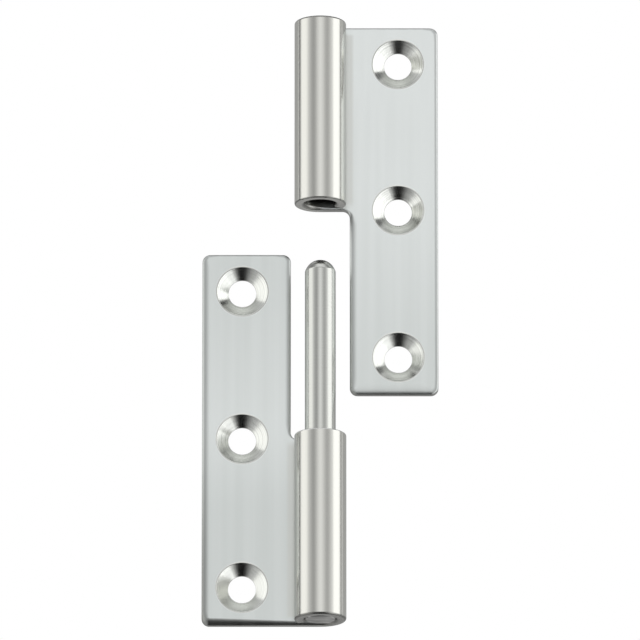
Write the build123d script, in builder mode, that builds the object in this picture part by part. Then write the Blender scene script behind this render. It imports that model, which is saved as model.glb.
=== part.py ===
from build123d import *

import os
from math import asin, atan, degrees

# Lift-off hinge with two rolled sheet leaves, shown with the upper leaf lifted off the pin.
#
# Z runs up along the pin. The countersunk faces look towards -Y and both plates' backs lie
# in one plane. The upper leaf reaches to +X and the lower leaf to -X. The origin is on the
# pin's axis, midway between the top of the upper leaf and the bottom of the lower one.

# Driving sizes in millimetres
leaf_height = 75.0        # each leaf, along the pin
leaf_reach = 23.0         # from the pin's axis to a leaf's outer edge
sheet = 2.0               # thickness of the sheet that is rolled
corner_radius = 1.5       # corners of the plate's outline
notch_radius = 1.4        # inside corner, where the cut-away half meets the knuckle
edge_round = 0.4          # front edges of the sheet and rims of the bore
edge_break = 0.25         # back edges of the sheet and rims of the knuckle

pin_diameter = 6.0
pin_recess = 0.1          # how far the pin's lower end stays inside its knuckle
pin_end_bevel = 0.4       # at the lower end
tip_setback = 2.2         # pin's tip below the top of the upper knuckle, when seated
tip_taper = 1.2           # how much the tip would narrow, in radius, if it weren't rounded
tip_taper_length = 2.2
tip_round = 2.9           # dome at the end of the taper
tip_blend = 0.8           # rounding between the taper and the pin's side

hole_diameter = 5.4       # for an M5 countersunk screw
countersink_diameter = 10.0
hole_land = 0.3           # straight wall left below the countersink
hole_count = 3
hole_edge = 7.8           # from a hole's centre to the leaf's outer edge
hole_end = 7.5            # from the end holes' centres to the leaf's top and bottom

lift = 46.6               # how far the upper leaf is lifted from its seat

# Clearances in millimetres
running_gap = 0.05        # between the pin and a knuckle's bore, on radius
seam_gap = 0.35           # between the rolled end and the plate it curls back to
seat_gap = 0.2            # between the two knuckles when the leaf is seated
swing_gap = 0.7           # between a plate's cut edge and the other leaf's knuckle

# Sizes that follow
pin_radius = pin_diameter / 2
bore_radius = pin_radius + running_gap
knuckle_radius = bore_radius + sheet
plate_front = knuckle_radius - sheet
knuckle_length = (leaf_height - seat_gap) / 2
cut_edge = knuckle_radius + swing_gap
hole_line = leaf_reach - hole_edge
hole_pitch = (leaf_height - 2 * hole_end) / (hole_count - 1)
countersink_angle = 2 * degrees(atan((countersink_diameter - hole_diameter) / 2 / (sheet - hole_land)))

# The sheet leaves the plate at twelve o'clock, rolls round the bore and stops short of the plate.
three_quarters = 270
roll_angle = three_quarters + degrees(asin((plate_front - seam_gap) / knuckle_radius))

# Heights of the upper leaf, and of the pin in the lower one
leaf_middle = lift / 2
leaf_top = leaf_middle + leaf_height / 2
leaf_bottom = leaf_middle - leaf_height / 2
knuckle_bottom = leaf_top - knuckle_length
pin_bottom = -leaf_top + pin_recess
pin_top = leaf_height / 2 - leaf_middle - tip_setback

# The upper leaf starts as a plate, drawn on its back plane and thickened towards the front.
with BuildPart() as upper_leaf:
    with BuildSketch(Plane.XZ.offset(-knuckle_radius)):
        with BuildLine():
            outline = FilletPolyline(
                (0, leaf_top),
                (leaf_reach, leaf_top),
                (leaf_reach, leaf_bottom),
                (cut_edge, leaf_bottom),
                (cut_edge, knuckle_bottom),
                (0, knuckle_bottom),
                radius=(corner_radius, corner_radius, corner_radius, notch_radius),
            )
            Line(outline @ 1, outline @ 0)
        make_face()
    extrude(amount=sheet)

    # The knuckle is the same sheet, rolled tangent to the plate's back.
    with BuildSketch(Plane.XY.offset(knuckle_bottom)):
        with BuildLine():
            outside = CenterArc((0, 0), knuckle_radius, 90, roll_angle)
            inside = CenterArc((0, 0), bore_radius, 90, roll_angle)
            Line(outside @ 0, inside @ 0)
            Line(outside @ 1, inside @ 1)
        make_face()
    extrude(amount=knuckle_length)

    # Blanking rolls the plate's front edges over, and they run on along the bore's rims. The first
    # edge along X is left out, as the plate runs on smoothly into the roll there.
    front_face = upper_leaf.faces().filter_by(Axis.Y).sort_by(Axis.Y)[0]
    fillet(front_face.edges().sort_by(Axis.X)[1:], radius=edge_round)

    # The back edges, which run on along the knuckle's rims, are only broken.
    back_face = upper_leaf.faces().filter_by(Axis.Y).sort_by(Axis.Y)[-1]
    chamfer(back_face.edges().sort_by(Axis.X)[1:], length=edge_break)

    with Locations(Plane.XZ.offset(-plate_front)):
        with Locations((hole_line, leaf_middle)):
            with GridLocations(0, hole_pitch, 1, hole_count):
                CounterSinkHole(
                    radius=hole_diameter / 2,
                    counter_sink_radius=countersink_diameter / 2,
                    depth=sheet,
                    counter_sink_angle=countersink_angle,
                )

# The lower leaf is the same pressing turned end for end about the Y axis.
with BuildPart() as lower_leaf:
    add(upper_leaf.part, rotation=(0, 180, 0))

# The pin is turned: bevelled below, tapered to a dome at the tip.
with BuildPart() as hinge_pin:
    with BuildSketch(Plane.XZ):
        with BuildLine():
            side = FilletPolyline(
                (pin_radius, pin_bottom + pin_end_bevel),
                (pin_radius, pin_top - tip_taper_length),
                (pin_radius - tip_taper, pin_top),
                (0, pin_top),
                radius=(tip_blend, tip_round),
            )
            Polyline(
                side @ 1,
                (0, pin_bottom),
                (pin_radius - pin_end_bevel, pin_bottom),
                side @ 0,
            )
        make_face()
    revolve(axis=Axis.Z)

upper_leaf.part.label = "upper_leaf"
lower_leaf.part.label = "lower_leaf"
hinge_pin.part.label = "hinge_pin"

os.makedirs("parts", exist_ok=True)
export_step(upper_leaf.part, "parts/upper_leaf.step")
export_step(lower_leaf.part, "parts/lower_leaf.step")
export_step(hinge_pin.part, "parts/hinge_pin.step")
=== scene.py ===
# %% [markdown]
# # A lift-off hinge in rolled stainless steel
#
# The hinge is three pieces: an upper leaf, a lower leaf and a pin. Each leaf starts as a flat
# blank of 2 mm sheet. Its plate stays flat and takes three countersunk screws, and its other
# part is rolled into a tube, the knuckle. The pin stands in the lower knuckle, and the upper
# leaf is shown lifted off it.
#
# The CAD model comes first. It says where every piece is and how it moves, so nothing here
# needs to be fitted by eye.

from math import asin, ceil, pi, radians

import bpy
import numpy as np
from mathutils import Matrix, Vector
from mathutils.geometry import delaunay_2d_cdt


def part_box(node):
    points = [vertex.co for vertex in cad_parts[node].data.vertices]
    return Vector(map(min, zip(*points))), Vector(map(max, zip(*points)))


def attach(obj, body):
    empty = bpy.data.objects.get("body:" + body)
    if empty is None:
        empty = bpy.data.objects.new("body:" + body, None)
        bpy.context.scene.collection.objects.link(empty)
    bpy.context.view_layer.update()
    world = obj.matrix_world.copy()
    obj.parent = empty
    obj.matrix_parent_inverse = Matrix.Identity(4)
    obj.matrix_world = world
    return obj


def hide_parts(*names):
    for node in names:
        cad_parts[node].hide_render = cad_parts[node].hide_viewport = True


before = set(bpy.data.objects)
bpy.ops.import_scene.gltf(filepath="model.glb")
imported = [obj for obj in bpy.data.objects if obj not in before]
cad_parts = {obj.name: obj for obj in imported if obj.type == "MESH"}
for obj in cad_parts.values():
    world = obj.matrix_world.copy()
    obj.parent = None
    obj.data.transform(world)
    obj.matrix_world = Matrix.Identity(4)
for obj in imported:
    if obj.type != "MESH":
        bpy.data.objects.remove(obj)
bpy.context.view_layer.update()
print("CAD nodes:", sorted(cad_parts))

# %% [markdown]
# ## Sizes
#
# The large sizes are read from the CAD boxes, so that a change there comes through to here.
# The small ones, such as the sheet's thickness, can't be read from a box, so they repeat the
# CAD source. Blender works in metres, so a millimetre gets a name of its own.

# %% Sizes from the CAD boxes
mm = 0.001
leaf_low, leaf_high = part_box("upper_leaf")
pin_low, pin_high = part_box("hinge_pin")

knuckle_radius = -leaf_low.x
leaf_reach = leaf_high.x
leaf_height = leaf_high.z - leaf_low.z
leaf_middle = (leaf_high.z + leaf_low.z) / 2
pin_radius = pin_high.x
print(f"leaf {leaf_height / mm:.1f} mm high, knuckle {2 * knuckle_radius / mm:.1f} mm thick")

# %% Sizes repeated from the CAD source
sheet = 2.0 * mm
seam_gap = 0.35 * mm
seat_gap = 0.2 * mm
swing_gap = 0.7 * mm
corner_radius = 1.5 * mm
notch_radius = 1.4 * mm
hole_radius = 2.7 * mm
countersink_radius = 5.0 * mm
hole_land = 0.3 * mm
hole_edge = 7.8 * mm
hole_end = 7.5 * mm
hole_count = 3

bore_radius = knuckle_radius - sheet
knuckle_length = (leaf_height - seat_gap) / 2
cut_edge = knuckle_radius + swing_gap
hole_line = leaf_reach - hole_edge
print(f"bore {2 * bore_radius / mm:.2f} mm wide, knuckle {knuckle_length / mm:.1f} mm long")

# %% [markdown]
# ## Camera
#
# The hinge is photographed from far away and from a little below, so its lines stay almost
# parallel. A long lens at two and a half metres gives that, and a short one close by would not.
#
# The camera and the lamps are placed alike: by a direction round the hinge, a height above it
# in degrees, and a distance.

# %% A direction round the hinge
def direction(azimuth, elevation):
    """Unit vector: azimuth 0 is towards the camera's side, 90 towards +X, elevation upwards."""
    a, e = np.radians(azimuth), np.radians(elevation)
    return np.stack([np.sin(a) * np.cos(e), -np.cos(a) * np.cos(e), np.sin(e) + 0 * a], axis=-1)


def stand(name, data, azimuth, elevation, distance):
    """Stands a camera or a lamp in a direction from the hinge, and turns it to look back at it."""
    holder = bpy.data.objects.new(name, data)
    bpy.context.scene.collection.objects.link(holder)
    way = Vector(direction(azimuth, elevation))
    holder.location = distance * way
    holder.rotation_mode = "QUATERNION"
    holder.rotation_quaternion = way.to_track_quat("Z", "Y")
    print(name, "stands at", tuple(round(v, 2) for v in holder.location))
    return holder


print("the camera's side is", direction(0, 0))

# %% Camera
camera_data = bpy.data.cameras.new("camera")
camera_data.sensor_width = 36.0
camera_data.lens = 722.4
camera_data.shift_x = -0.0005
camera_data.shift_y = -0.0007
camera_data.clip_end = 100.0
bpy.context.scene.camera = stand("camera", camera_data, azimuth=0, elevation=-17, distance=2.5)
bpy.context.scene.view_settings.view_transform = "Standard"

# %% [markdown]
# ## Shader arithmetic
#
# A pattern on steel is a formula: streaks here, rings there, one fading into the other. Written
# as nodes it is hard to read, so a small class lets Python's own operators add the Math nodes.
# Everything that isn't arithmetic comes from one function, add.

# %% A value that adds Math nodes
class Value:
    """A number that varies over a surface. Python's operators on it add Math nodes."""

    def __init__(self, socket):
        self.socket = socket
        self.tree = socket.id_data

    def sibling(self, name):
        """Another output of the same node."""
        return Value(self.socket.node.outputs[name])

    def __add__(self, other):
        return math_node("ADD", self, other)

    def __sub__(self, other):
        return math_node("SUBTRACT", self, other)

    def __rsub__(self, other):
        return math_node("SUBTRACT", other, self)

    def __mul__(self, other):
        return math_node("MULTIPLY", self, other)

    __radd__ = __add__
    __rmul__ = __mul__


def math_node(operation, *terms):
    """One Math node, whose terms are Values or plain numbers."""
    tree = next(term.tree for term in terms if isinstance(term, Value))
    return add(tree, "ShaderNodeMath", {"operation": operation}, dict(enumerate(terms)))


print("Python's +, - and * now add Math nodes")

# %% Nodes of any kind
def add(tree, kind, settings, inputs, output=0):
    """Adds a node of any kind: its settings first, then its sockets. Gives one output, if any.

    An input is a Value, which is linked, or a plain number or colour, which is written in.
    """
    node = tree.nodes.new(kind)
    for name, setting in settings.items():
        setattr(node, name, setting)
    for name, value in inputs.items():
        if isinstance(value, Value):
            tree.links.new(value.socket, node.inputs[name])
        else:
            node.inputs[name].default_value = value
    return Value(node.outputs[output]) if node.outputs else None


def blank_tree(owner):
    """The empty node tree of a material or a world."""
    owner.use_nodes = True
    owner.node_tree.nodes.clear()
    return owner.node_tree


def attribute(tree, name, output="Fac"):
    """What a mesh notes under a name at each of its points."""
    return add(tree, "ShaderNodeAttribute", {"attribute_name": name}, {}, output)


def fade(value, start, end):
    """0 on start's side, 1 on end's side, with a smooth change from one to the other."""
    return add(value.tree, "ShaderNodeMapRange", {"interpolation_type": "SMOOTHSTEP"},
               {"Value": value, "From Min": start, "From Max": end}, "Result")


def grey(level):
    """A grey as the four numbers that a colour socket takes."""
    return level, level, level, 1


print("shader helpers ready")

# %% [markdown]
# ## World
#
# The background is plain white. The world is white to the camera, and also to rays that
# bounce off metal, because polished steel shows whatever stands around it. Only the light
# that falls on matt surfaces, here the floor, comes from a dimmer sky.
#
# Cycles can also treat the sky as a lamp, and send its light straight to each surface. That
# light would reach the steel at the dimmer level, so it is switched off: the steel gets the sky
# only through the rays that it reflects.

# %% World
def seen_rays(tree):
    """1 for what is seen, straight or by way of metal or glass, and 0 for what only lights."""
    camera_ray = add(tree, "ShaderNodeLightPath", {}, {}, "Is Camera Ray")
    return camera_ray + camera_ray.sibling("Is Glossy Ray") + camera_ray.sibling("Is Transmission Ray")


sky_level = 0.9
world = bpy.data.worlds.new("white_studio")
bpy.context.scene.world = world
tree = blank_tree(world)
level = sky_level + (1 - sky_level) * seen_rays(tree)
background = add(tree, "ShaderNodeBackground", {}, {"Color": grey(1), "Strength": level})
add(tree, "ShaderNodeOutputWorld", {}, {"Surface": background})
world.cycles.sampling_method = "NONE"
print("sky level", sky_level, "for light, 1 for what is seen")

# %% [markdown]
# ## Floor
#
# The floor is pale and matt, and keeps the shadow of whatever is above it. The camera looks up
# at the hinge from below, so the floor lies lower still, just under the camera.
#
# A grey floor against a white sky would show a horizon, and a polished tube would mirror it as
# a band. So the floor fades to white with distance, but only to the camera and to the metal.
# The light that it throws back up stays that of a matt floor.

# %% Floor
floor_level = -0.82
floor_half = 20.0
fade_start = 1.9
fade_end = 2.7

floor_mesh = bpy.data.meshes.new("floor")
floor_corners = ((-1, -1), (1, -1), (1, 1), (-1, 1))
floor_points = [(floor_half * x, floor_half * y, floor_level) for x, y in floor_corners]
floor_mesh.from_pydata(floor_points, [], [(0, 1, 2, 3)])
floor = bpy.data.objects.new("floor", floor_mesh)
bpy.context.scene.collection.objects.link(floor)

floor_paint = bpy.data.materials.new("pale_floor")
tree = blank_tree(floor_paint)
matt = add(tree, "ShaderNodeBsdfDiffuse", {}, {"Color": grey(0.86)})
white = add(tree, "ShaderNodeEmission", {}, {"Color": grey(1)})
place = add(tree, "ShaderNodeTexCoord", {}, {}, "Object")
away = add(tree, "ShaderNodeVectorMath", {"operation": "LENGTH"}, {0: place}, "Value")
whiteness = fade(away, fade_start, fade_end) * seen_rays(tree)
mixed = add(tree, "ShaderNodeMixShader", {}, {"Fac": whiteness, 1: matt, 2: white})
add(tree, "ShaderNodeOutputMaterial", {}, {"Surface": mixed})
floor_mesh.materials.append(floor_paint)
print("floor at", floor_level, "m, white from", fade_end, "m on")

# %% [markdown]
# ## Soft boxes
#
# A polished tube is a mirror of the whole room, squeezed into upright stripes. The stripes on
# the knuckles and the pin could be painted on, but then they would turn with the hinge, and
# real ones stay where the lights are. So they are left to the lights. A tall soft box at each
# side gives the bright stripes, and a small low one lights what faces down.

# %% Soft boxes
def soft_box(name, azimuth, elevation, distance, size, power, colour):
    """A rectangular area light that looks at the hinge. size is its width and its height."""
    lamp = bpy.data.lights.new(name, "AREA")
    lamp.shape = "RECTANGLE"
    lamp.size, lamp.size_y = size
    lamp.energy = power
    lamp.color = colour
    stand(name, lamp, azimuth, elevation, distance)


soft_box("right_box", azimuth=77, elevation=6, distance=1.3,
         size=(0.80, 1.9), power=2.2, colour=(1.0, 1.0, 0.98))
soft_box("left_box", azimuth=-76, elevation=6, distance=1.3,
         size=(0.85, 1.9), power=1.2, colour=(1.0, 0.98, 0.88))
soft_box("low_right_box", azimuth=56, elevation=-33, distance=1.0,
         size=(0.46, 0.46), power=0.35, colour=(1.0, 1.0, 1.0))

# %% [markdown]
# ## Flags
#
# In a white room polished steel would be white all over. A photographer stands dark cards
# round it, called flags, and each one shows in the metal as a dark stripe or patch. Those at
# the sides and behind give the tubes their dark stripes. Those above and below are what the
# pin's dome, the countersinks and the knuckles' ends mirror.
#
# Each card is a patch of a sphere round the hinge. Only the metal sees it: it throws no shadow
# and is hidden from the camera.

# %% Faces of a grid
def bands(rows, columns, start=0, closed=True):
    """Quads between neighbouring rows of a grid of points, which may close round on itself.

    The point in a row and column has the number start + row * columns + column.
    """
    row = np.arange(rows - 1)[:, None]
    column = np.arange(columns if closed else columns - 1)[None, :]
    after = (column + 1) % columns
    quads = [row * columns + column, row * columns + after,
             (row + 1) * columns + after, (row + 1) * columns + column]
    return start + np.stack([q.reshape(-1) for q in quads], axis=1)


print("a closed grid of 3 rows of 8 points has", len(bands(3, 8)), "faces")

# %% A bent card
card_points = 17


def bent_card(name, azimuths, elevations, distance, lying):
    """A patch of a sphere: the distance times the direction at each azimuth and elevation.

    A lying card runs under or over the hinge: its first angle goes up from the camera's side,
    and its second towards +X. Each point notes its share of the way across and up the card.
    """
    share = np.linspace(0, 1, card_points)
    across, up = np.meshgrid(share, share, indexing="ij")
    azimuth = azimuths[0] + (azimuths[1] - azimuths[0]) * across
    elevation = elevations[0] + (elevations[1] - elevations[0]) * up
    points = distance * direction(azimuth, elevation).reshape(-1, 3)
    if lying:
        points = points[:, ::-1]
    mesh = bpy.data.meshes.new(name)
    mesh.from_pydata(points.tolist(), [], bands(card_points, card_points, closed=False).tolist())
    place = mesh.attributes.new("place", "FLOAT_VECTOR", "POINT")
    place.data.foreach_set("vector", np.stack([across, up, 0 * up], axis=-1).reshape(-1))
    card = bpy.data.objects.new(name, mesh)
    bpy.context.scene.collection.objects.link(card)
    return card


print("a card has", card_points, "x", card_points, "points")

# %% Flags
def flag(name, azimuths, elevations, shade, sides=(0.3, 0.3), ends=0.15, distance=1.0, lying=False):
    """A card of one shade of grey, where 0 is black, that only the metal sees.

    It fades out over a share of its width at each side, and over a share of its height at both
    ends, so that its mirror image in the steel has soft edges.
    """
    card = bent_card(name, azimuths, elevations, distance, lying)
    for ray in ("camera", "diffuse", "transmission", "volume_scatter", "shadow"):
        setattr(card, "visible_" + ray, False)

    material = bpy.data.materials.new(name)
    tree = blank_tree(material)
    x = add(tree, "ShaderNodeSeparateXYZ", {}, {"Vector": attribute(tree, "place", "Vector")})
    y = x.sibling("Y")
    mask = fade(x, 0, sides[0]) * fade(x, 1, 1 - sides[1]) * fade(y, 0, ends) * fade(y, 1, 1 - ends)
    clear = add(tree, "ShaderNodeBsdfTransparent", {}, {})
    paint = add(tree, "ShaderNodeEmission", {}, {"Color": grey(shade)})
    mixed = add(tree, "ShaderNodeMixShader", {}, {"Fac": mask, 1: clear, 2: paint})
    add(tree, "ShaderNodeOutputMaterial", {}, {"Surface": mixed})
    card.data.materials.append(material)
    print(name, "has shade", shade)


flag("left_flag", (-72, 0), (-45, 45), 0.42, sides=(0.6, 0.42))
flag("right_flag", (0, 62), (-45, 45), 0.50, sides=(0.5, 0.5))
flag("far_left_flag", (-113, -96), (-54, 60), 0.10, sides=(0.3, 0.4))
flag("far_right_flag", (97, 112), (-54, 60), 0.30)
flag("back_flag", (108, 252), (-50, 60), 0.44, sides=(0.1, 0.1), distance=1.05)
flag("back_top_flag", (148, 212), (20, 72), 0.03)
flag("front_top_flag", (-75, 75), (32, 60), 0.50)
flag("left_top_flag", (-150, -52), (38, 78), 0.26, sides=(0.3, 0.5))
flag("right_top_flag", (52, 150), (38, 78), 0.24, sides=(0.5, 0.3), distance=1.02)
flag("slate_flag", (55, 125), (37, 56), 0.14, sides=(0.15, 0.2), ends=0.12, distance=0.98)
flag("low_grey_flag", (-70, 50), (-74, -24), 0.26, distance=0.80)
flag("low_flag", (-145, -40), (-29, 29), 0.0, sides=(0.12, 0.1), ends=0.4, distance=0.76, lying=True)
flag("top_flag", (79, 114), (-30, 30), 0.10, sides=(0.2, 0.2), ends=0.25, distance=0.92, lying=True)

# %% [markdown]
# ## From a formula to a mesh
#
# Each surface is worked out as whole arrays: its points, and the direction that it faces at
# each point. Blender could guess those directions from the faces, but then large flat faces
# beside small round ones would look dented, so the exact ones are stored with the mesh.

# %% Mesh from arrays
def make_piece(name, points, normals, faces, notes):
    """A smooth mesh from points, their normals, blocks of faces, and named values per point.

    A face that looks against its points' normals is turned round.
    """
    turned = []
    for block in faces:
        first, second, third = (points[block[:, corner]] for corner in range(3))
        side = np.cross(second - first, third - first)
        wrong = np.einsum("ij,ij->i", side, normals[block].mean(axis=1)) < 0
        turned += np.where(wrong[:, None], block[:, ::-1], block).tolist()
    mesh = bpy.data.meshes.new(name)
    mesh.from_pydata(points.tolist(), [], turned)
    mesh.shade_smooth()
    for note, values in notes.items():
        kind, key = ("FLOAT_VECTOR", "vector") if values.ndim == 2 else ("FLOAT", "value")
        noted = mesh.attributes.new(note, kind, "POINT")
        noted.data.foreach_set(key, values.astype(np.float32).reshape(-1))
    mesh.normals_split_custom_set_from_vertices(normals.tolist())
    piece = bpy.data.objects.new(name, mesh)
    bpy.context.scene.collection.objects.link(piece)
    print(name, len(mesh.vertices), "points,", len(mesh.polygons), "faces")
    return piece


print("mesh helper ready")

# %% [markdown]
# ## Lines with rounded corners
#
# The outline of the blank, the section of a countersink and the side of the pin are all the
# same kind of line: straight runs with an arc in each corner. A Bevel modifier on a curve's
# corners would draw them too, but it doesn't say which way the line faces. So one function
# works out both, the points and the direction that faces out of the material at each.

# %% Rounded path
def rounded_path(corners, step, closed=False, arc_step=radians(9)):
    """Points and outward normals of a line through corners, each given as (x, y, radius).

    In a corner that turns by an angle, an arc of that radius touches both runs at the distance
    radius * tan(angle / 2) from the corner. Outward is to the right of the way along.
    """
    corners = np.array(corners, float)
    place, radius = corners[:, :2], corners[:, 2]
    ahead = np.roll(place, -1, axis=0) - place
    ahead /= np.linalg.norm(ahead, axis=1, keepdims=True)
    before = np.roll(ahead, 1, axis=0)
    if not closed:
        before[0], ahead[-1] = ahead[0], before[-1]
    sine = before[:, 0] * ahead[:, 1] - before[:, 1] * ahead[:, 0]
    cosine = (before * ahead).sum(axis=1)
    turn = np.arctan2(sine, cosine)
    reach = (radius * np.tan(np.abs(turn) / 2))[:, None]
    # The counts below are rounded first, so that a run of just so many steps doesn't get one more.
    points, normals = [], []
    last_end = (place[-1] + ahead[-1] * reach[-1]) if closed else None
    for i, way in enumerate(before):
        out = np.array([way[1], -way[0]])
        start = place[i] - way * reach[i]
        if last_end is not None:
            count = max(1, ceil(round(np.linalg.norm(start - last_end) / step, 6)))
            along = np.linspace(0, 1, count + 1)[1:-1, None]
            points.append(last_end + along * (start - last_end))
            normals.append(np.repeat(out[None], count - 1, axis=0))
        steps = ceil(round(abs(turn[i]) / arc_step, 6)) if radius[i] > 0 else 0
        angle = np.linspace(0, turn[i], steps + 1)[:, None]
        arc = np.hstack([out[0] * np.cos(angle) - out[1] * np.sin(angle),
                         out[0] * np.sin(angle) + out[1] * np.cos(angle)])
        bend = np.sign(turn[i]) * radius[i]
        points.append(start - bend * out + bend * arc)
        normals.append(arc)
        last_end = place[i] + ahead[i] * reach[i]
    return np.vstack(points), np.vstack(normals)


def length_along(line):
    """How far each point of a line lies from its first point, measured along the line."""
    return np.concatenate([[0], np.cumsum(np.linalg.norm(np.diff(line, axis=0), axis=1))])


print("a right angle has", len(rounded_path([(0, 0, 0), (1, 0, 0.5), (1, 1, 0)], 1)[0]), "points")

# %% [markdown]
# ## The flat blank
#
# The real leaf is punched out of sheet and then rolled. It could be made as a box joined to a
# tube, but then the sheet's worn edge would stop where they meet. So it is made as the real
# one is: the whole blank is laid out flat, and rolled up at the end. It has three coordinates:
# s across the leaf, z along the pin, and t through the sheet, from the front face to the back.
#
# Bending leaves the middle of the sheet as long as it was, so that gives the roll's length. It
# ends where its outer side has come round to just short of the plate's front, at the seam.

# %% Outline of the blank
roll_end_radius = 0.6 * mm
grid_step = 0.4 * mm

roll_radius = bore_radius + sheet / 2
seam_height = bore_radius - seam_gap
roll_angle = 1.5 * pi + asin(seam_height / knuckle_radius)
roll_length = roll_angle * roll_radius
half_height = leaf_height / 2
knuckle_foot = half_height - knuckle_length

outline, outward = rounded_path([
    (leaf_reach, -half_height, corner_radius),
    (leaf_reach, half_height, corner_radius),
    (0, half_height, 0),
    (-roll_length, half_height, roll_end_radius),
    (-roll_length, knuckle_foot, roll_end_radius),
    (0, knuckle_foot, 0),
    (cut_edge, knuckle_foot, notch_radius),
    (cut_edge, -half_height, corner_radius),
], step=grid_step, closed=True)
print(f"outline {len(outline)} points, roll {np.degrees(roll_angle):.0f} degrees")

# %% [markdown]
# ## The edge of the sheet
#
# The punch draws the front edge down into a soft round and breaks through at the back. Then
# the blank is tumbled, and each stretch of its outline wears by its own amount. The lower
# leaf's foot is different again: there the edge is almost a flat bevel, which widens towards
# the outer corner. A Bevel modifier would give every edge one width. Here the edge is a short
# line through the sheet, worked out anew for each point of the outline.

# %% Wear along the outline
def worn_edge(lower):
    """How the sheet's edge is worn at each point of the outline, for the upper or lower leaf.

    Gives how far the front edge is drawn down inwards and in depth, how far the back edge is
    rounded, and the front curve's power: 2 is an ellipse, and nearer 1 a straight bevel. Each
    stretch has its own amounts, and a running mean blends each into the next.
    """
    straight = 0.99
    slanted = 0.3
    s, z = outline.T
    facing_bottom = outward[:, 1] if lower else -outward[:, 1]
    along = np.clip(s / leaf_reach, 0, 1)
    foot = np.abs(z) < half_height / 2
    upright = np.abs(facing_bottom) < 1 - straight
    bottom = facing_bottom > (slanted if lower else straight)
    # The first stretch that a point is in counts. Widths and depths are in millimetres, first
    # for the upper leaf and then for the lower one.
    stretches = [
        ("roll end", s < -roll_length + 2 * mm, (0.4, 0.4), (0.4, 0.4)),
        ("knuckle foot", (s < 0) & foot, (0.8, 0.7), (0.4, 0.4)),
        ("knuckle end", s < 0, (0.4, 0.4), (0.6, 0.5)),
        ("notch", (s < cut_edge) & foot, (0.3, 0.3), (0.3, 0.3)),
        ("outer side", upright & (s > hole_line), (0.8, 0.4), (1.5, 0.55)),
        ("cut side", upright, (1.5, 0.55), (1.2, 0.5)),
        ("bottom", bottom, (2.2, 0.75), (0.6 + 0.85 * along, 0.4 + 0.7 * along)),
        ("top", facing_bottom < -straight, (0.4, 0.4), (0.4, 0.4)),
        ("corners", s >= 0, (1.0, 0.5), (1.0, 0.5)),
    ]
    names, places, upper_amounts, lower_amounts = zip(*stretches)
    widths, depths = zip(*(lower_amounts if lower else upper_amounts))
    width = np.select(places, widths) * mm
    depth = np.select(places, depths) * mm
    back = np.where((s < 0) & foot, 0.3, 0.45) * mm
    nearly_flat, ellipse = 1.45, 2.0
    power = np.where(bottom & lower, nearly_flat, ellipse)

    neighbours = 4
    mean = np.ones(2 * neighbours + 1) / (2 * neighbours + 1)
    print("lower" if lower else "upper", "leaf's edge:", ", ".join(names))
    return [np.convolve(np.concatenate([v[-neighbours:], v, v[:neighbours]]), mean, "valid")
            for v in (width, depth, back, power)]


upper_wear, lower_wear = worn_edge(False), worn_edge(True)

# %% Section of the edge
edge_steps = 15


def edge_section(width, depth, back, power):
    """Section of the edge: a curve in front, a straight side, and a round behind.

    The curve in front is a quarter of |x / width| ** power + |y / depth| ** power = 1. Gives,
    for each point of the section and of the outline, the distance inside the outline, the depth
    t, and the normal as a part outwards and a part along t.
    """
    quarter = np.linspace(0, pi / 2, edge_steps)[:, None]
    rise, fall = np.sin(quarter), np.abs(np.cos(quarter))
    rise[0] = fall[-1] = 0
    reach, bend = 2 / power, 2 - 2 / power
    front = [width * (1 - rise ** reach), depth * (1 - fall ** reach),
             rise ** bend / width, -fall ** bend / depth]
    behind = [back * (1 - fall), sheet - back * (1 - rise),
              fall + 0 * back, rise + 0 * back]
    section = np.array([np.vstack(pair) for pair in zip(front, behind)])
    section[2:] /= np.linalg.norm(section[2:], axis=0)
    return section


upper_edge, lower_edge = edge_section(*upper_wear), edge_section(*lower_wear)
print("edge section of", upper_edge.shape[1], "points")

# %% [markdown]
# ## Countersunk holes
#
# A countersunk screw's head sits in a cone that a turning cutter has left, with a short
# straight wall below it and a rim that is a little rounded. A boolean could cut a cone out of
# the blank, but not round its rim. So the countersink's section is drawn as a line and swept
# round the hole's axis. Each point also notes how far it lies along that line, which the
# finish needs for the fine rings that the cutter leaves.

# %% Section of a countersink
rim_round = 0.5 * mm
small_round = 0.1 * mm
lip = 0.2 * mm
hole_points = 96

cutter, cutter_normals = rounded_path([
    (countersink_radius + lip, 0, 0),
    (countersink_radius, 0, rim_round),
    (hole_radius, sheet - hole_land, small_round),
    (hole_radius, sheet, small_round),
    (hole_radius + lip, sheet, 0),
], step=0.3 * mm)
cutter_normals = -cutter_normals
cutter_length = length_along(cutter)
hole_heights = np.linspace(-half_height + hole_end, half_height - hole_end, hole_count)
print("countersink section of", len(cutter), "points, heights in mm", hole_heights / mm)

# %% [markdown]
# ## The flat blank as arrays
#
# The blank is put together from strips whose points are all known: one round its edge, and one
# down each hole. That leaves the flat front and back, each with three round holes in it. A
# single face can't have a hole, so each is made of triangles that leave the holes open.

# %% Strips of the blank
ring_shift = 0.01


def sweep_round(line, count, centre=(0, 0)):
    """A line of (radius, height) swept round an upright axis: one ring of points in each row.

    At an angle, a point lies at centre + radius * (cosine, sine), and at the line's height.
    """
    angle = np.linspace(0, 2 * pi, count, endpoint=False)
    circle = np.stack([np.cos(angle), np.sin(angle)], axis=1)
    flat = np.array(centre) + line[:, 0, None, None] * circle
    return np.dstack([flat, np.repeat(line[:, 1:], count, axis=1)])


def edge_strip(edge):
    """The edge's section carried round the outline: outline - inset * outward, at its depth."""
    inset, depth, out_part, deep_part = edge
    return {
        "points": np.dstack([outline - inset[..., None] * outward, depth]),
        "normals": np.dstack([out_part[..., None] * outward, deep_part]),
        "groove": 0 * inset,
        "cut": 0 * inset,
    }


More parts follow.
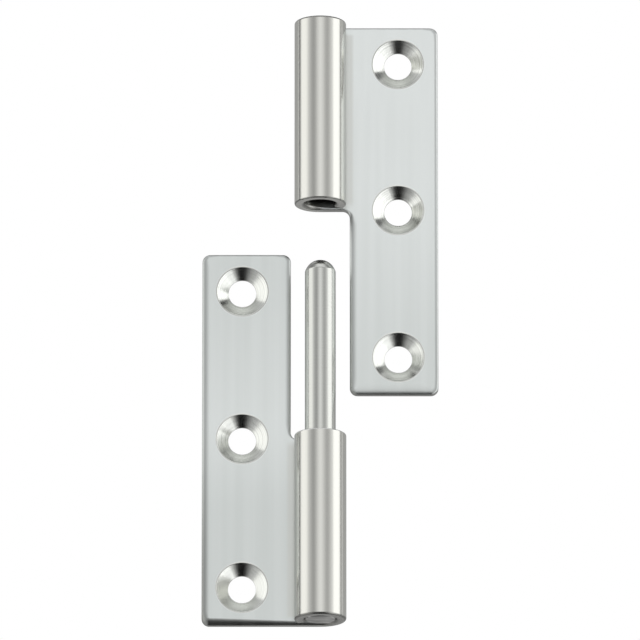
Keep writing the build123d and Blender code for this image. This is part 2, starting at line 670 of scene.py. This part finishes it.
def hole_strip(number, height):
    """The countersink's section swept round, with a shift that gives each hole its own rings."""
    turned = np.ones(len(cutter))
    turned[[0, -1]] = 0
    return {
        "points": sweep_round(cutter, hole_points, (hole_line, height)),
        "normals": sweep_round(cutter_normals, hole_points),
        "groove": np.outer(cutter_length + ring_shift * number, np.ones(hole_points)),
        "cut": np.outer(turned, np.ones(hole_points)),
    }


print("one hole has", hole_strip(1, 0.0)["cut"].size, "points")

# %% Flat front and back
tolerance = 0.001 * mm
margin = 2 * mm
same_point = 1e-9
inside_outline = 1


def fill(points, loops):
    """Triangles of a flat face, between its outer loop of points and the loops of its holes.

    On the straight part of the roll, each point at the top is tied to the one below it, so that
    every triangle there is a narrow upright one that bends with the roll.
    """
    index = np.concatenate(loops)
    owner = np.concatenate([np.full(len(loop), number) for number, loop in enumerate(loops)])
    flat = points[index, :2]
    here = np.arange(len(index))
    after = np.concatenate([np.roll(here[owner == number], -1) for number in range(len(loops))])
    straight_from = -roll_length + roll_end_radius - tolerance
    rolled = (owner == 0) & (flat[:, 0] < grid_step / 2) & (flat[:, 0] > straight_from)
    above = np.flatnonzero(rolled & (flat[:, 1] > half_height - margin))
    below = np.flatnonzero(rolled & (flat[:, 1] < knuckle_foot + margin))
    above = above[np.argsort(flat[above, 0])]
    below = below[np.argsort(flat[below, 0])]
    ties = np.vstack([np.stack([here, after], axis=1), np.stack([above, below], axis=1)])

    found = delaunay_2d_cdt(flat.tolist(), ties.tolist(), [], inside_outline, same_point)
    triangles, origins = found[2:4]
    triangles = np.array(origins)[:, 0][np.array(triangles)]
    whose = owner[triangles]
    in_hole = (whose[:, 0] > 0) & (whose == whose[:, :1]).all(axis=1)
    return index[triangles[~in_hole]]


def listed(grid):
    """A grid of points, or of numbers, row after row in one list."""
    return grid.reshape(-1, *grid.shape[2:])


def flat_blank(edge):
    """The flat blank: points and normals, their notes for the finish, and blocks of faces."""
    strips = [edge_strip(edge)]
    strips += [hole_strip(number, height) for number, height in enumerate(hole_heights, 1)]
    front, back, faces, start = [], [], [], 0
    for strip in strips:
        rows, columns = strip["cut"].shape
        front.append(start + np.arange(columns))
        back.append(start + np.arange(columns) + (rows - 1) * columns)
        faces.append(bands(rows, columns, start))
        start += rows * columns
    blank = {key: np.concatenate([listed(strip[key]) for strip in strips]) for key in strips[0]}
    faces += [fill(blank["points"], front), fill(blank["points"], back)]
    return blank, faces


upper_blank, lower_blank = flat_blank(upper_edge), flat_blank(lower_edge)
print("flat blank:", len(upper_blank[0]["points"]), "points")

# %% [markdown]
# ## Rolling the knuckle
#
# A curling tool bends the real sheet round. Blender's Simple Deform modifier bends a mesh too,
# but all of it, and here the plate must stay flat. So the roll is a formula for the part left
# of the pin. There s becomes an angle round the pin and t the distance from it. Worked out this
# way the sheet stays one piece, with its rounded edges carried all the way round to the seam.

# %% Roll
def roll_up(points, normals):
    """Flat (s, z, t) to space: beyond s = 0 the angle is -s / roll_radius, from twelve o'clock.

    A point goes to the radius bore_radius + t at that angle, and its normal turns with it.
    """
    s, z, t = points.T
    angle = np.maximum(-s, 0) / roll_radius
    sine, cosine = np.sin(angle), np.cos(angle)
    radius = bore_radius + t
    place = np.stack([np.maximum(s, 0) - radius * sine, radius * cosine, z + leaf_middle], axis=1)
    along, high, deep = normals.T
    facing = np.stack([along * cosine - deep * sine, along * sine + deep * cosine, high], axis=1)
    return place, facing


print("twelve o'clock is at", roll_up(np.zeros((1, 3)), np.zeros((1, 3)))[0][0].round(4))

# %% [markdown]
# ## The two leaves
#
# Both leaves are one pressing, and the lower one is the upper one turned half round. Each point
# takes notes along for the finish: its place on the flat blank, which leaf it is on, how far it
# lies along a countersink, and whether it is turned, sheared or on a worn rim.

# %% Leaves
def leaf(name, blank, turned_over, body, node):
    """One leaf. The lower leaf is the upper one turned half round the Y axis."""
    blank, faces = blank
    place, facing = roll_up(blank["points"], blank["normals"])
    half_turn = np.array([-1, 1, -1] if turned_over else [1, 1, 1])
    number = float(turned_over)
    along, high, deep = np.abs(blank["normals"]).T
    not_turned = 1 - blank["cut"]
    notes = {
        "blank": blank["points"],
        "leaf": np.full(len(place), number),
        "groove": blank["groove"] + number,
        "cut": blank["cut"],
        "sheared": (deep < 0.5) * not_turned,
        "rim": 2 * deep * np.hypot(along, high) * not_turned,
    }
    piece = make_piece(name, place * half_turn, facing * half_turn, faces, notes)
    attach(piece, body)
    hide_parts(node)
    return piece


upper = leaf("upper_leaf_sheet", upper_blank, False, "upper_leaf", "upper_leaf")
lower = leaf("lower_leaf_sheet", lower_blank, True, "lower_leaf", "lower_leaf")

# %% [markdown]
# ## The pin
#
# The pin is turned on a lathe. Its tip tapers and ends in a dome, which is what lets the leaf
# find it and slip over it. A stretched cylinder would have neither, and a Screw modifier would
# turn a line round the axis but know nothing of the turning marks. So the pin's side is swept
# round as the countersinks are, with its distance along the side noted.

# %% Pin
tip_taper = 1.2 * mm
tip_taper_length = 2.2 * mm
tip_round = 2.9 * mm
tip_blend = 0.8 * mm
pin_foot_round = 0.4 * mm
pin_points = 128
core = 0.05 * mm


def turned_pin(name):
    """The side of the pin, swept round Z. A small flat disc closes each end."""
    side, side_normals = rounded_path([
        (core, pin_low.z, 0),
        (pin_radius, pin_low.z, pin_foot_round),
        (pin_radius, pin_high.z - tip_taper_length, tip_blend),
        (pin_radius - tip_taper, pin_high.z, tip_round),
        (core, pin_high.z, 0),
    ], step=2 * mm, arc_step=radians(4))
    rows = len(side)
    disc = np.arange(pin_points)[None]
    faces = [bands(rows, pin_points), disc, disc + (rows - 1) * pin_points]
    points = listed(sweep_round(side, pin_points))
    normals = listed(sweep_round(side_normals, pin_points))
    end = side[:, 1] < pin_low.z + pin_foot_round
    notes = {"groove": np.repeat(length_along(side), pin_points), "end": np.repeat(end, pin_points)}
    return make_piece(name, points, normals, faces, notes)


pin = turned_pin("turned_pin")
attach(pin, "hinge_pin")
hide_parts("hinge_pin")

# %% [markdown]
# ## Patterns on steel
#
# Brushing, turning and polishing leave fine marks, and each is a noise: brushing changes
# quickly across and slowly along, and a cutter's rings change only along its cut. A picture of
# such marks would have to be wrapped round every edge. A noise is worked out from coordinates,
# so it has no seam.

# %% Noises, mixes and relief
def stretched_noise(place, across, along, sample, detail=3):
    """Noise about 0.5, with so many changes a metre across the brushing and along it."""
    through = 40
    scaled = add(place.tree, "ShaderNodeVectorMath", {"operation": "MULTIPLY"},
                 {0: place, 1: (across, along, through)})
    return add(place.tree, "ShaderNodeTexNoise", {"noise_dimensions": "4D"},
               {"Vector": scaled, "W": 10 * sample, "Scale": 1.0, "Detail": detail}, "Fac")


def turning_marks(distance, scale, detail):
    """The rings of a cutter: noise that changes only with the distance along the turned line."""
    return add(distance.tree, "ShaderNodeTexNoise", {"noise_dimensions": "1D"},
               {"W": distance, "Scale": scale, "Detail": detail}, "Fac")


def between(mask, low, high):
    """low where the mask is 0, high where it is 1. Either may vary too."""
    return low + (high - low) * mask


def larger(first, second):
    """The larger of two values."""
    return math_node("MAXIMUM", first, second)


def colour_mix(mask, first, second):
    """first where the mask is 0, second where it is 1. Each is a Value or red, green and blue."""
    first, second = (c if isinstance(c, Value) else (*c, 1) for c in (first, second))
    red_green_blue = {"data_type": "RGBA"}
    return add(mask.tree, "ShaderNodeMix", red_green_blue, {"Factor": mask, 6: first, 7: second}, 2)


def relief(pattern, strength):
    """A normal that leans as if the pattern stood up to 0.02 mm proud."""
    return add(pattern.tree, "ShaderNodeBump", {},
               {"Strength": strength, "Distance": 0.02 * mm, "Height": pattern}, "Normal")


print("patterns ready")

# %% [markdown]
# ## Brushed and polished sheet
#
# All of the leaf is bare steel, so its own colour hardly changes. What changes is how smooth it
# is. The plate carries a belt's brushing along the pin, the knuckle is polished to a satin shine,
# and a cutter has left fine rings in the countersinks. Four materials with borders between them
# would do, but real finishes run into each other. So this is one material, and masks lead from
# one finish to the next. It reads the blank's coordinates, so the brushing runs on round the
# roll as it does on the real sheet. Painted light and shade is laid into the colour as well:
# along the plates' height, beside the knuckle, deep in the bore, and on the knuckles' ends and
# on the rims.

# %% Where on the sheet
sheet_steel = bpy.data.materials.new("sheet_steel")
tree = blank_tree(sheet_steel)
blank = attribute(tree, "blank", "Vector")
s = add(tree, "ShaderNodeSeparateXYZ", {}, {"Vector": blank})
z, t = s.sibling("Y"), s.sibling("Z")
leaf_number, groove, turned, sheared, rim = (
    attribute(tree, note) for note in ("leaf", "groove", "cut", "sheared", "rim"))

# A knuckle's foot is the end that meets the other leaf, and its outer end is at the leaf's end.
from_foot = z - knuckle_foot
from_end = half_height - z
outer_end = fade(z, 0, 30 * mm)
rolled = fade(s, 1 * mm, -1 * mm)
# The bore is the inner side of the roll and the strip of plate that closes it. Deep inside it
# hardly any light comes in.
bore = fade(s, 4.6 * mm, 4.3 * mm) * fade(t, 1.6 * mm, 0.6 * mm) * fade(from_foot, 0, 0.2 * mm)
lit, unlit = 0.4 * mm, 1.8 * mm
deep = bore * fade(from_foot, lit, unlit) * fade(from_end, lit, unlit)
# Painted shade: a darker band is painted on the plate beside the knuckle.
knuckle_side_shade = (fade(s, 4 * mm, 5 * mm) * fade(s, 6.8 * mm, 6 * mm) * fade(t, 0.3 * mm, 0.1 * mm)
           * fade(z, 0, 2 * mm) * fade(from_end, 1.1 * mm, 1.9 * mm))
# The sheared sides are torn and rough, and polishing has smoothed them on the knuckle.
torn = sheared * (1 - 0.85 * rolled)
print("masks:", len(tree.nodes), "nodes")

# %% Brushing and roughness
streaks = stretched_noise(blank, across=2600, along=30, sample=leaf_number)
broad = stretched_noise(blank, across=420, along=9, sample=leaf_number, detail=1)
slow = stretched_noise(blank, across=20, along=32, sample=leaf_number, detail=0)
rings = turning_marks(groove, scale=3200, detail=3)

plate_roughness = 0.26 + 0.08 * streaks + 0.06 * broad
knuckle_roughness = 0.17 + 0.04 * streaks
turned_roughness = 0.14 + 0.08 * rings
bore_roughness = 0.32
torn_roughness = 0.45
roughness = between(turned, between(rolled, plate_roughness, knuckle_roughness), turned_roughness)
roughness = between(torn, between(bore, roughness, bore_roughness), torn_roughness)
print("brushing and roughness:", len(tree.nodes), "nodes")

# %% Colours of the finishes
# The plates are not evenly bright: painted light and shade is laid into their colour along
# their height. From the blank's low end both get lighter. The upper leaf is lightest at its top,
# and the lower one, whose blank is turned over, darkens to its foot.
height = (0.5 * fade(z, -38 * mm, 10 * mm)
          + (0.07 + 0.42 * fade(z, 15 * mm, 37 * mm)) * (1 - leaf_number)
          - 0.6 * fade(z, -5 * mm, 15 * mm) * leaf_number)
tone_and_painted_light = height + 0.2 * streaks + 0.3 * fade(broad, 0.3, 0.7) + 0.1 * fade(slow, 0.3, 0.7)
brushed_and_painted_light = colour_mix(tone_and_painted_light, (0.68, 0.715, 0.70), (0.85, 0.885, 0.875))
polished = colour_mix(streaks, (0.68, 0.68, 0.645), (0.73, 0.73, 0.69))
bright = colour_mix(fade(rings, 0.25, 0.75), (0.67, 0.683, 0.657), (0.86, 0.877, 0.843))
# Painted shade beside the knuckle, painted shade deep in the bore, and the torn sides' grey.
knuckle_side_shade_colour = (0.62, 0.62, 0.58)
deep_colour = (0.12, 0.12, 0.11)
torn_colour = (0.29, 0.29, 0.28)

# The painted shade beside the knuckle is laid on the plate's colour here.
plate = colour_mix(0.45 * knuckle_side_shade, brushed_and_painted_light, knuckle_side_shade_colour)
colour = colour_mix(turned, colour_mix(rolled, plate, polished), bright)
colour = colour_mix(torn, colour_mix(deep, colour, deep_colour), torn_colour)
print("colours:", len(tree.nodes), "nodes")

# %% Ends and rims of the knuckles
# A knuckle's end face was sheared before it was rolled, and its colour is darkened: partly
# as a duller sheared face and partly as painted shade, most of all at the leaf's outer end, on
# the upper leaf, and at the foot near the seam. The sheet's rounded rims get painted shade as
# dark outlines, apart from the one that the pin comes out of, which gets a painted highlight:
# its colour is raised to white. leaf_number is 0 on the upper leaf, 1 on the lower.
dull_and_painted_shade = (0.2, 0.2, 0.19)
light = (1, 1, 1)
seam_shade = fade(s, 5 * mm - roll_length, -roll_length)
end_dulling_and_shade = sheared * rolled * larger(outer_end, 0.4 * (1 - leaf_number) + 0.4 * seam_shade)
plate_rim_shade = 0.3 + 0.5 * leaf_number * outer_end
knuckle_rim_shade = 0.9 * larger(outer_end, 1 - leaf_number)
# Dulling and painted shade on the knuckles' end faces.
colour = colour_mix(0.6 * end_dulling_and_shade, colour, dull_and_painted_shade)
# Painted shade on the rounded rims, as dark outlines.
colour = colour_mix(rim * between(rolled, plate_rim_shade, knuckle_rim_shade), colour, dull_and_painted_shade)
# Painted highlight: the rim that the pin comes out of is mixed to white.
colour = colour_mix(rim * rolled * leaf_number * (1 - outer_end), colour, light)
print("ends and rims:", len(tree.nodes), "nodes")

# %% Sheet steel
bump = relief(between(turned, streaks, 1.8 * rings), 0.12)
steel = add(tree, "ShaderNodeBsdfPrincipled", {},
            {"Base Color": colour, "Metallic": 1 - 0.6 * torn, "Roughness": roughness, "Normal": bump})
add(tree, "ShaderNodeOutputMaterial", {}, {"Surface": steel})
for piece in (upper, lower):
    piece.data.materials.append(sheet_steel)
print("sheet steel has", len(tree.nodes), "nodes")

# %% [markdown]
# ## Turned pin
#
# The pin is a bar, turned and then polished, so only faint rings are left on it. Its lower end
# was cut off and is rougher, with dark scratches across it. A second material on the end face
# would do as well. A mask keeps the pin to one, like the leaves.

# %% Pin steel
pin_steel = bpy.data.materials.new("pin_steel_bar")
tree = blank_tree(pin_steel)
rings = turning_marks(attribute(tree, "groove"), scale=5000, detail=2)
end = attribute(tree, "end")
place = add(tree, "ShaderNodeTexCoord", {}, {}, "Object")
scratches = fade(stretched_noise(place, across=300, along=1500, sample=0), 0.35, 0.7)
side = colour_mix(rings, (0.62, 0.63, 0.60), (0.68, 0.69, 0.66))
cut_off = colour_mix(scratches, (0.30, 0.30, 0.29), (0.72, 0.72, 0.70))
colour = colour_mix(end, side, cut_off)
roughness = 0.16 + 0.08 * rings + 0.15 * end
steel = add(tree, "ShaderNodeBsdfPrincipled", {},
            {"Base Color": colour, "Metallic": 1.0, "Roughness": roughness, "Normal": relief(rings, 0.05)})
add(tree, "ShaderNodeOutputMaterial", {}, {"Surface": steel})
pin.data.materials.append(pin_steel)
print("pin steel has", len(tree.nodes), "nodes")
